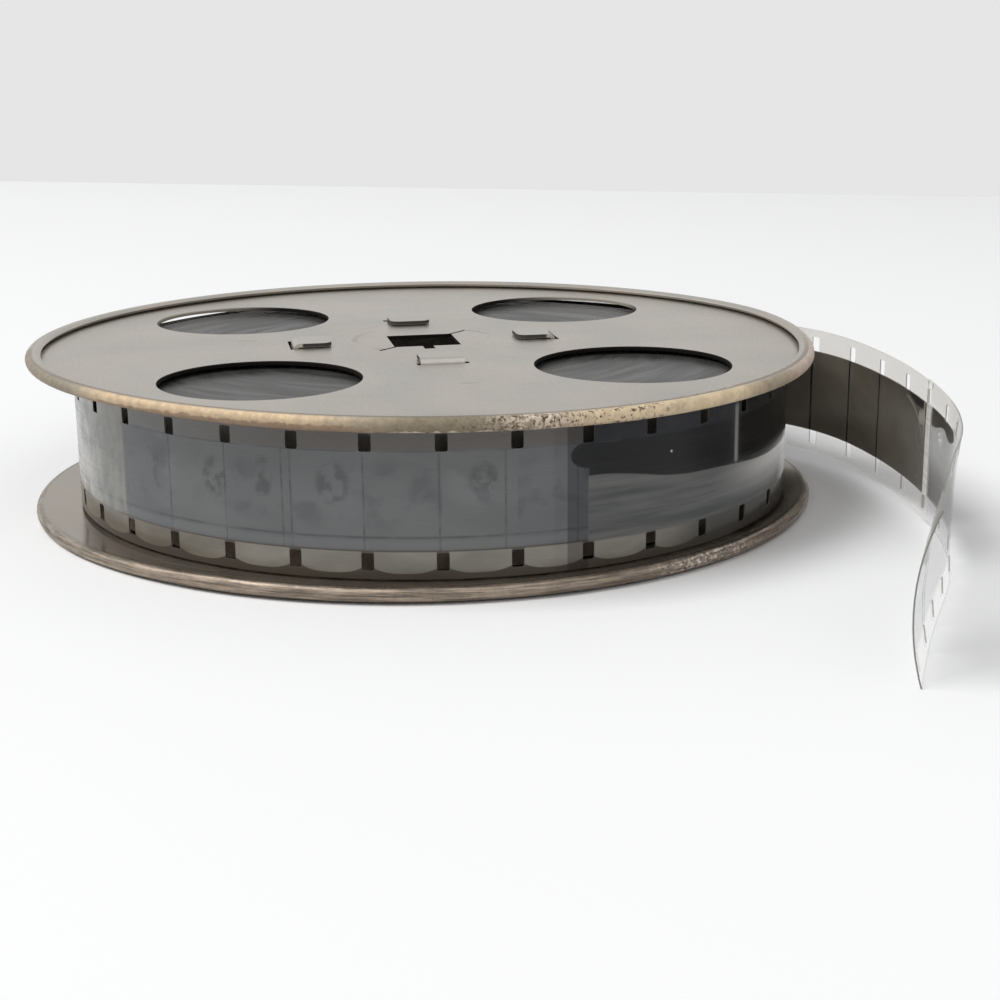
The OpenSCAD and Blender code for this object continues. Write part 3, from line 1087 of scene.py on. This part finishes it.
@dataclass(frozen=True)
class FilmStock:
    """The sizes of the film, in millimetres, and how finely its mesh is divided."""

    width: float = 15.95
    thick: float = 0.15
    pitch: float = 7.62
    perf_along: float = 1.27
    perf_across: float = 1.83
    perf_edge: float = 0.9
    perf_corner: float = 0.2
    picture_rows: int = 8
    least_step: float = 0.05

    def rows(self) -> list[float]:
        """Gives the heights across the film at which the mesh has rows.

        Returns:
            The heights.
        """
        low = self.perf_edge + self.perf_across
        high = self.width - low
        inner = [low + (high - low) * k / self.picture_rows for k in range(self.picture_rows + 1)]
        return [0.0, self.perf_edge, *inner, self.width - self.perf_edge, self.width]

    def columns(self, start: float, stop: float) -> list[float]:
        """Gives the runs at which the mesh has columns, with one at each side of a perforation.

        Args:
            start: the first run.
            stop: the last run.

        Returns:
            The runs.
        """
        half = (self.pitch - self.perf_along) / 2
        cuts = (0.0, half / 2, half, self.pitch - half, self.pitch - half / 2)
        frames = range(floor(start / self.pitch), ceil(stop / self.pitch) + 1)
        runs = [k * self.pitch + cut for k in frames for cut in cuts]
        return [start, *[run for run in runs if start + self.least_step < run < stop - self.least_step], stop]

    def in_perforation(self, run: float) -> bool:
        """Tells whether a run lies in a column of perforations."""
        return abs(run % self.pitch - self.pitch / 2) < self.perf_along / 2 - 0.001


@dataclass
class FilmRoute:
    """The route of the loose turn and the free end: a chain of clockwise arcs, in millimetres and degrees."""

    stock: FilmStock = field(default_factory=FilmStock)
    roll_r: float = 40.0
    play: float = 0.35
    slack: float = 2.8
    centre: tuple[float, float] = (0.955, -1.28)
    lead_at: float = 60.0
    loop_turn: float = 240.0
    marked_frame: float = 24.5
    marked_turn: float = 157.37
    opening: float = 0.7
    open_turn: float = 145.0
    free_runs: tuple[float, ...] = (22.5, 12.0, 24.5, 26.5)
    free_radii: tuple[float, ...] = (320.0, 30.0, 77.0, 70.5, -300.0)
    splice_frames: float = 7.5
    leader: float = 54.5
    cup: float = 1.45
    lean: float = 0.95
    ripple: float = 0.05
    level: float = 1.75
    end_lift: float = 0.05
    drop_after: float = 17.0
    drop_run: float = 65.0

    def __post_init__(self) -> None:
        """Works out the arcs from the sizes."""
        loop_r = self.roll_r + self.slack
        room = self.slack - self.play - self.stock.thick / 2
        ahead = Vector((cos(radians(self.lead_at)), sin(radians(self.lead_at))))
        middle = Vector(self.centre)
        shift = (room * room - middle.dot(middle)) / (2 * (room + middle.dot(ahead)))
        lead_r = loop_r - shift
        lead_c = middle + shift * ahead
        loop_run = loop_r * radians(self.loop_turn)
        lead_run = self.marked_frame * self.stock.pitch - loop_r * radians(self.marked_turn)
        open_r = loop_r + self.opening
        frames = round((lead_run + loop_run + open_r * radians(self.open_turn)) / self.stock.pitch)
        self.turn_end = frames * self.stock.pitch
        self.splice = self.turn_end + self.splice_frames * self.stock.pitch
        self.end = self.splice + self.leader
        self.runs = [lead_run, loop_run, self.turn_end - lead_run - loop_run, *self.free_runs]
        self.radii = [lead_r, loop_r, open_r, *self.free_radii]
        start = self.lead_at + degrees(lead_run / lead_r)
        self.start = (lead_c.x + lead_r * cos(radians(start)), lead_c.y + lead_r * sin(radians(start)),
                      radians(start - 90))

    @staticmethod
    def _follow(pose: Pose, run: float, radius: float) -> Pose:
        """Follows a clockwise arc.

        Args:
            pose: x, y and heading at its start.
            run: how far to go.
            radius: the arc's radius.

        Returns:
            The pose there.
        """
        x, y, old = pose
        new = old - run / radius
        return x + radius * (sin(old) - sin(new)), y + radius * (cos(new) - cos(old)), new

    def pose(self, run: float) -> Pose:
        """Gives x, y and heading at a run along the film.

        Args:
            run: the run.

        Returns:
            The pose.
        """
        pose = self.start
        for length, radius in zip(self.runs, self.radii):
            if run <= length:
                return self._follow(pose, run, radius)
            pose = self._follow(pose, length, radius)
            run -= length
        return self._follow(pose, run, self.radii[-1])

    def low_edge(self, run: float) -> float:
        """Gives the height of the film's lower edge at a run along it."""
        share = within((run - self.turn_end - self.drop_after) / self.drop_run)
        return self.end_lift + (self.level - self.end_lift) * (1 + cos(pi * share)) / 2

    def spot(self, run: float, height: float, out: float) -> Vector:
        """Gives a point of the film.

        Args:
            run: the run along it.
            height: the height across it.
            out: the distance outward from its middle surface.

        Returns:
            The point in metres.
        """
        x, y, heading = self.pose(run)
        share = within((run - self.splice) / self.leader)
        across = 2 * height / self.stock.width - 1
        out += self.lean * share * height / self.stock.width - self.cup * share ** 1.5 * (1 - across * across)
        out += self.ripple * noise.noise(Vector((run * 0.07, height * 0.12, 4.0)))
        return Vector((x - out * sin(heading), y + out * cos(heading), self.low_edge(run) + height)) * MM

    def line(self, start: float, stop: float, steps: int) -> list[Vector]:
        """Gives points along the middle of the film.

        Args:
            start: the first run.
            stop: the last run.
            steps: how many steps.

        Returns:
            The points in metres.
        """
        runs = [start + (stop - start) * k / steps for k in range(steps + 1)]
        return [self.spot(run, self.stock.width / 2, 0.0) for run in runs]


class RibbonMesh:
    """A mesh of perforated film with two skins, edges and the walls of its perforations."""

    line_walls: range = range(12, 17)
    sharp: float = 40.0

    def __init__(self, stock: FilmStock, route: Callable[[float, float, float], Vector]) -> None:
        """Starts an empty mesh.

        Args:
            stock: the sizes of the film.
            route: gives a point for a run, a height and a distance outward.
        """
        self.stock = stock
        self.route = route
        self.points: list[Vector] = []
        self.places: list[tuple[float, float]] = []
        self.faces: list[tuple[int, ...]] = []
        self.skins: list[int] = []

    def _pair(self, run: float, height: float, out: float) -> tuple[int, int]:
        """Adds the points on the inner and the outer skin.

        Args:
            run: the run along the film.
            height: the height across it.
            out: the distance outward of its middle surface.

        Returns:
            Their numbers.
        """
        for side in (-0.5, 0.5):
            self.points.append(self.route(run, height, out + side * self.stock.thick))
            self.places.append((run / self.stock.pitch, height / self.stock.width))
        return len(self.points) - 2, len(self.points) - 1

    def _face(self, corners: Sequence[int], skin: Skin) -> None:
        """Adds a face."""
        self.faces.append(tuple(corners))
        self.skins.append(skin.value)

    def _perforation(self, low: tuple[float, float], high: tuple[float, float], out: float, skin: Skin,
                     corners: Sequence[tuple[int, int]]) -> None:
        """Rounds the corners of a perforation and gives it walls.

        Args:
            low: its first run and lower height.
            high: its last run and upper height.
            out: the distance outward of the film.
            skin: the finish of the film round it.
            corners: the mesh's own points at its corners, from the lower far one, anticlockwise.
        """
        bend = self.stock.perf_corner
        centres = ((high[0] - bend, low[1] + bend, -90), (high[0] - bend, high[1] - bend, 0),
                   (low[0] + bend, high[1] - bend, 90), (low[0] + bend, low[1] + bend, 180))
        outline: list[tuple[int, int]] = []
        for (run, height, turn), corner in zip(centres, corners):
            angles = [radians(turn + 22.5 * k) for k in range(5)]
            arc = [self._pair(run + bend * cos(angle), height + bend * sin(angle), out) for angle in angles]
            for one, two in zip(arc, arc[1:]):
                self._face((corner[0], two[0], one[0]), skin)
                self._face((corner[1], one[1], two[1]), skin)
            outline += arc
        for k, (one, two) in enumerate(zip(outline, outline[1:] + outline[:1])):
            wall = Skin.LINE if k in self.line_walls else Skin.PALE
            self._face((one[0], two[0], two[1], one[1]), wall if skin.lets_light_through else Skin.EDGE)

    def lay(self, start: float, stop: float, out: float, choose: Callable[[float], Skin],
            ends: tuple[Skin, Skin] = (Skin.EDGE, Skin.EDGE)) -> None:
        """Lays a stretch of film.

        Args:
            start: its first run.
            stop: its last run.
            out: the distance outward of its middle surface.
            choose: gives the finish at a run.
            ends: the finishes of its first and its last end.
        """
        runs = self.stock.columns(start, stop)
        rows = self.stock.rows()
        holes = (1, len(rows) - 3)
        grid = [[self._pair(run, height, out) for height in rows] for run in runs]
        for j in range(len(runs) - 1):
            middle = (runs[j] + runs[j + 1]) / 2
            skin = choose(middle)
            for i in range(len(rows) - 1):
                a, b, c, d = grid[j][i], grid[j + 1][i], grid[j + 1][i + 1], grid[j][i + 1]
                if i in holes and self.stock.in_perforation(middle):
                    self._perforation((runs[j], rows[i]), (runs[j + 1], rows[i + 1]), out, skin, (b, c, d, a))
                    continue
                self._face((a[0], b[0], c[0], d[0]), skin)
                self._face((a[1], d[1], c[1], b[1]), skin)
            low, low2, top, top2 = grid[j][0], grid[j + 1][0], grid[j][-1], grid[j + 1][-1]
            side = Skin.PALE if skin.lets_light_through else Skin.EDGE
            self._face((low[0], low[1], low2[1], low2[0]), side)
            self._face((top[0], top2[0], top2[1], top[1]), side)
        for one, two in zip(grid[0], grid[0][1:]):
            self._face((one[0], two[0], two[1], one[1]), ends[0])
        for one, two in zip(grid[-1], grid[-1][1:]):
            self._face((one[0], one[1], two[1], two[0]), ends[1])

    def make(self, name: str, skins: Sequence[bpy.types.Material]) -> bpy.types.Mesh:
        """Makes the mesh.

        Args:
            name: its name.
            skins: its materials, in the order of the skins.

        Returns:
            The mesh.
        """
        mesh = new_mesh(name, self.points, self.faces, skins)
        mesh.polygons.foreach_set("material_index", self.skins)
        layer = mesh.uv_layers.new(name="film")
        layer.data.foreach_set("uv", [n for loop in mesh.loops for n in self.places[loop.vertex_index]])
        shade(mesh, self.sharp)
        mesh.validate()
        return mesh


@dataclass
class FilmStrand:
    """The loose outer turn of the film and its free end."""

    skins: list[bpy.types.Material]
    route: FilmRoute = field(default_factory=FilmRoute)
    splice_w: float = 2.2
    cement: float = 0.02
    shade_and_sheen_until: float = 23.0
    grey_until: float = 38.5
    path_steps: int = 36

    def skin_at(self, run: float) -> Skin:
        """Chooses the finish of the film before the splice.

        Args:
            run: the run along the film.

        Returns:
            The finish.
        """
        frames = run / self.route.stock.pitch
        if run > self.route.splice - self.splice_w / 2:
            return Skin.SPLICE
        if frames < self.shade_and_sheen_until:
            return Skin.SHADE_AND_SHEEN
        return Skin.GREY if frames < self.grey_until else Skin.DARK

    def build_free_end(self) -> bpy.types.Object:
        """Builds the free end: the dark stretch, the lap splice and the clear stretch after it.

        Returns:
            The piece.
        """
        route = self.route
        lap_start, lap_end = route.splice - self.splice_w / 2, route.splice + self.splice_w / 2
        ribbon = RibbonMesh(route.stock, route.spot)
        ribbon.lay(route.turn_end, lap_end, 0.0, self.skin_at, (Skin.EDGE, Skin.PALE))
        ribbon.lay(lap_start, route.end, route.stock.thick + self.cement,
                   lambda run: Skin.SPLICE if run < lap_end else Skin.CLEAR, (Skin.PALE, Skin.EDGE))
        mesh = ribbon.make("film_free_end", self.skins)
        piece = add_piece("film_free_end", mesh, Body.STRAND, Slot.DARK, "film_tail", "film_leader")
        path = route.line(route.turn_end, route.end, self.path_steps)
        return piece

    def build_turn(self) -> bpy.types.Object:
        """Builds the loose turn.

        Returns:
            The piece.
        """
        ribbon = RibbonMesh(self.route.stock, self.route.spot)
        ribbon.lay(0.0, self.route.turn_end, 0.0, self.skin_at)
        mesh = ribbon.make("film_loose_turn", self.skins)
        return add_piece("film_loose_turn", mesh, Body.STRAND, Slot.GREY, "film_outer_turn")


@dataclass
class FilmRoll:
    """The tight roll of film on the drum, and the first end of the film inside the drum."""

    skins: list[bpy.types.Material]
    stock: FilmStock = field(default_factory=FilmStock)
    inner: float = 16.05
    outer: float = 40.0
    low: float = 1.75
    wraps: int = 84
    steps: int = 144
    uneven: float = 0.006
    sag: float = 0.3
    sagging: int = 4
    sag_lead: float = 1.3
    sharp: float = 30.0
    drum_inner: float = 15.55
    fit: float = 0.05
    seam: float = 135.0
    tuck: float = 38.0

    def _ledge(self, step: int) -> float:
        """Gives how far the edge of a turn lies below the highest one.

        Args:
            step: the step along the spiral.

        Returns:
            The depth in millimetres.
        """
        angle = 2 * pi * step / self.steps
        slow = noise.noise(Vector((cos(angle) * 0.8, sin(angle) * 0.8, step / self.steps * 0.9)))
        quick = noise.noise(Vector((cos(angle) * 0.5 + 9.0, sin(angle) * 0.5, step / self.steps * 3.7)))
        return self.uneven * within(0.5 + 0.5 * slow + 0.5 * quick)

    def _spiral(self, count: int) -> list[Point]:
        """Gives the points of the spiral: the near and the far one above, then below, at each step.

        Args:
            count: how many steps it has.

        Returns:
            The points in metres.
        """
        thick = (self.outer - self.inner) / self.wraps
        points: list[Point] = []
        for step in range(count + 1):
            angle = -2 * pi * step / self.steps
            near = max(self.inner, self.inner + thick * (step / self.steps - 1))
            far = self.inner + thick * step / self.steps
            ledge = self._ledge(step)
            sunk = self.sag * smooth((step - count) / (self.sagging * self.steps) + self.sag_lead)
            top, bottom = self.low + self.stock.width - ledge, self.low + ledge - sunk
            for radius, height in ((near, top), (far, top), (near, bottom), (far, bottom)):
                points.append((radius * cos(angle) * MM, radius * sin(angle) * MM, height * MM))
        return points

    def build_roll(self) -> bpy.types.Object:
        """Builds the roll as one long spiral whose turns stand a little higher or lower than each other.

        Returns:
            The piece.
        """
        count = self.wraps * self.steps
        faces: list[tuple[int, ...]] = []
        walls: list[int] = []
        for step in range(count):
            a, b = step * 4, step * 4 + 4
            faces += [(a, b, b + 1, a + 1), (a + 2, a + 3, b + 3, b + 2)]
            if step + self.steps < count:
                c, d = a + 4 * self.steps, b + 4 * self.steps
                faces += [(a + 1, b + 1, d, c), (a + 3, c + 2, d + 2, b + 3)]
            else:
                walls.append(len(faces))
                faces.append((a + 1, b + 1, b + 3, a + 3))
            if step < self.steps:
                faces.append((a, a + 2, b + 2, b))
        finishes = [RollFinish().make(), RollWall("film_roll_wall").make()]
        mesh = new_mesh("film_roll", self._spiral(count), faces, finishes)
        for face in walls:
            mesh.polygons[face].material_index = 1
        mesh.validate()
        shade(mesh, self.sharp)
        return add_piece("film_roll", mesh, Body.REEL, Slot.EDGES, "film_pack")

    def _tuck_spot(self, run: float, height: float, out: float) -> Vector:
        """Gives a point of the film's first end, which comes in through the gap and lies along the drum.

        Args:
            run: the run along it.
            height: the height across it.
            out: the distance outward.

        Returns:
            The point in metres.
        """
        radius = self.drum_inner - self.fit - self.stock.thick / 2 + out
        angle = radians(self.seam) + run / (self.drum_inner - self.fit)
        return Vector((radius * cos(angle), radius * sin(angle), self.low + height)) * MM

    def build_start(self) -> bpy.types.Object:
        """Builds the first end of the film inside the drum.

        Returns:
            The piece.
        """
        ribbon = RibbonMesh(self.stock, self._tuck_spot)
        ribbon.lay(0.0, radians(self.tuck) * (self.drum_inner - self.fit), 0.0, lambda run: Skin.DARK)
        mesh = ribbon.make("film_first_end", self.skins)
        return add_piece("film_first_end", mesh, Body.REEL, Slot.DARK, "film_start")


@dataclass(frozen=True)
class RimSector:
    """A stretch of the rim with soft ends, in degrees round the axis."""

    start: float
    full: float
    fade: float
    stop: float

    def share(self, angle: float) -> float:
        """Gives how far an angle lies inside, from 0 to 1."""
        into, left = angle - self.start, self.stop - angle
        return smooth(into / (self.full - self.start)) * smooth(left / (self.stop - self.fade))


@dataclass(frozen=True)
class BentFlange:
    """A flange that use has bent: a stretch of its rim has come in towards the film, and its roll has opened."""

    name: str
    node: str
    slot: Slot
    shift: float
    bent: RimSector
    opened: float
    steady: float
    roll: RimSector
    flat_r: float = 26.0
    rim_r: float = 46.65
    roll_r: float = 45.2
    opens_over: float = 0.5
    curve: float = 4.5
    cuts: int = 7
    level_within: float = 0.99
    sharp: float = 35.0

    def _refine(self, mesh: bmesh.types.BMesh) -> None:
        """Divides the flat plate into smaller faces, so that it can bend, and leaves the rolled rim as it is.

        Args:
            mesh: the flange's mesh.
        """
        mesh.normal_update()
        levels = {round(vertex.co.z, 6) for vertex in mesh.verts if hypot(*vertex.co.xy) < self.flat_r * MM}
        plate = {face for face in mesh.faces if abs(face.normal.z) > self.level_within
                 and levels.issuperset(round(vertex.co.z, 6) for vertex in face.verts)}
        inside = [edge for edge in mesh.edges if len(edge.link_faces) == 2 and plate.issuperset(edge.link_faces)]
        bmesh.ops.subdivide_edges(mesh, edges=inside, cuts=self.cuts, use_grid_fill=True)

    def _moved(self, point: Vector) -> float:
        """Gives the new height of a point.

        Args:
            point: the point in metres.

        Returns:
            The height in metres.
        """
        x, y, z = point / MM
        radius, angle = hypot(x, y), degrees(atan2(y, x))
        reach = within((radius - self.flat_r) / (self.rim_r - self.flat_r))
        opened = self.opened * self.roll.share(angle) * smooth((radius - self.roll_r) / self.opens_over)
        return (z + self.shift * self.bent.share(angle) * reach ** self.curve + opened * (z - self.steady)) * MM

    def build(self, finish: PlateFinish) -> bpy.types.Object:
        """Builds the bent flange from the frame's flat one.

        Args:
            finish: its finish.

        Returns:
            The piece.
        """
        work = bmesh.new()
        work.from_mesh(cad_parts[self.node].data)
        bmesh.ops.remove_doubles(work, verts=work.verts, dist=1e-6)
        self._refine(work)
        for vertex in work.verts:
            vertex.co.z = self._moved(vertex.co)
        mesh = bpy.data.meshes.new(self.name)
        work.to_mesh(mesh)
        work.free()
        if "custom_normal" in mesh.attributes:
            mesh.attributes.remove(mesh.attributes["custom_normal"])
        mesh.materials.clear()
        mesh.materials.append(finish.make())
        shade(mesh, self.sharp)
        piece = add_piece(self.name, mesh, Body.REEL, self.slot, self.node)
        shading = piece.modifiers.new("even_shading", "WEIGHTED_NORMAL")
        shading.keep_sharp = True
        return piece


@dataclass
class ReelMetal:
    """The two bent flanges, and the drum, which keeps the shape of the frame and gets its finish here."""

    upper: PlateFinish = PlateFinish(
        "plated_steel", cool=(0.458, 0.437, 0.396), warm=(0.484, 0.442, 0.396), rim_plain=(0.44, 0.415, 0.355),
        rim_rubbed=(0.42, 0.355, 0.265), rust=(0.13, 0.085, 0.055), cut_low=17.0, cut_high=19.0, pitted_at=-80.0,
        pitted_low=0.955, rim_dull=0.2,
        # The gold at -146 to -110 degrees is worn brass with a painted highlight; the brown low-side zone over the
        # same stretch is rust with painted shade on the rim's downward side.
        zones=(RimZone(-195.0, -148.0, (0.31, 0.27, 0.215)), RimZone(-146.0, -110.0, (0.57, 0.455, 0.32)),
               RimZone(-103.0, -86.0, (0.26, 0.225, 0.165)), RimZone(-89.0, -79.0, (0.68, 0.6, 0.52), flakes=0.5),
               RimZone(-79.0, -50.0, (0.71, 0.595, 0.43)), RimZone(-38.0, 5.0, (0.55, 0.455, 0.39), 0.8),
               RimZone(-146.0, -104.0, (0.31, 0.215, 0.155), 0.75, low_side=(18.6, 18.05)),
               RimZone(-104.0, -90.0, (0.8, 0.7, 0.6), 0.8, low_side=(17.95, 17.55))),
        scuffs=((-21.25, 4.5, 1.1), (1.05, -28.0, 1.0)),
        arcs=(ArcMark((48.0, 8.8), (4.0, 9.3), 0.14, (0.1, 0.09, 0.08), 0.8),
              ArcMark((-135.0, 7.4), (-149.0, 8.1), 0.16, (0.07, 0.06, 0.05), 0.9),
              ArcMark((177.0, 8.2), (112.0, 9.8), 0.35, (0.33, 0.24, 0.21), 0.5)))
    lower: PlateFinish = PlateFinish(
        "worn_steel", cool=(0.31, 0.275, 0.23), warm=(0.325, 0.27, 0.22), rim_plain=(0.3, 0.262, 0.215),
        rim_rubbed=(0.28, 0.228, 0.182), metal=0.75, rust=(0.1, 0.075, 0.06), cut_low=0.5, cut_high=2.5, rough=0.17,
        pitted_at=-50.0, pit_level=0.4, wave=0.25, streaks=0.5,
        zones=(RimZone(-66.0, -52.0, (0.75, 0.68, 0.6), 0.6, flakes=0.53),),
        # This broad dark arc is a painted shadow of the film on the lower flange's plate.
        arcs=(ArcMark((-48.0, 43.6), (12.0, 43.6), 1.9, (0.07, 0.055, 0.045), 0.85),))
    # On the drum, the cut faces, the front edges of its tabs among them, carry painted shade.
    drum: PlateFinish = PlateFinish(
        "drum_steel", cool=(0.47, 0.455, 0.42), warm=(0.49, 0.46, 0.415), rim_plain=(0.45, 0.43, 0.4),
        rim_rubbed=(0.45, 0.43, 0.4), rust=(0.1, 0.07, 0.05), cut_low=18.77, cut_high=19.17, cut_reach=15.0,
        cut_shade=(0.06, 0.055, 0.05))
    upper_bend: BentFlange = BentFlange(
        "bent_upper_flange", "upper_flange", Slot.PLATED, shift=-0.66, bent=RimSector(-150.0, -60.0, -25.0, 15.0),
        opened=0.2, steady=19.45, roll=RimSector(-142.0, -110.0, -25.0, 10.0))
    lower_bend: BentFlange = BentFlange(
        "bent_lower_flange", "lower_flange", Slot.WORN, shift=0.28, bent=RimSector(-165.0, -125.0, -30.0, 10.0),
        opened=0.17, steady=0.0, roll=RimSector(-165.0, -125.0, -30.0, 10.0))

    def build(self) -> list[bpy.types.Object]:
        """Builds the flanges and gives the drum its finish.

        Returns:
            The flanges.
        """
        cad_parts["hub_drum"].material_slots[0].material = self.drum.make()
        return [self.upper_bend.build(self.upper), self.lower_bend.build(self.lower)]


def main() -> None:
    """Builds the reel and its surroundings in order."""
    logging.basicConfig(level=logging.INFO)
    studio = Studio()
    studio.set_camera()
    skins = film_skins()
    strand = FilmStrand(skins)
    roll = FilmRoll(skins)
    pieces = [strand.build_free_end(), strand.build_turn(), roll.build_roll(), roll.build_start()]
    pieces += ReelMetal().build()
    for piece in pieces:
        LOG.info("built %s with %d faces", piece.name, len(piece.data.polygons))
    studio.build()


if __name__ == "__main__":
    main()
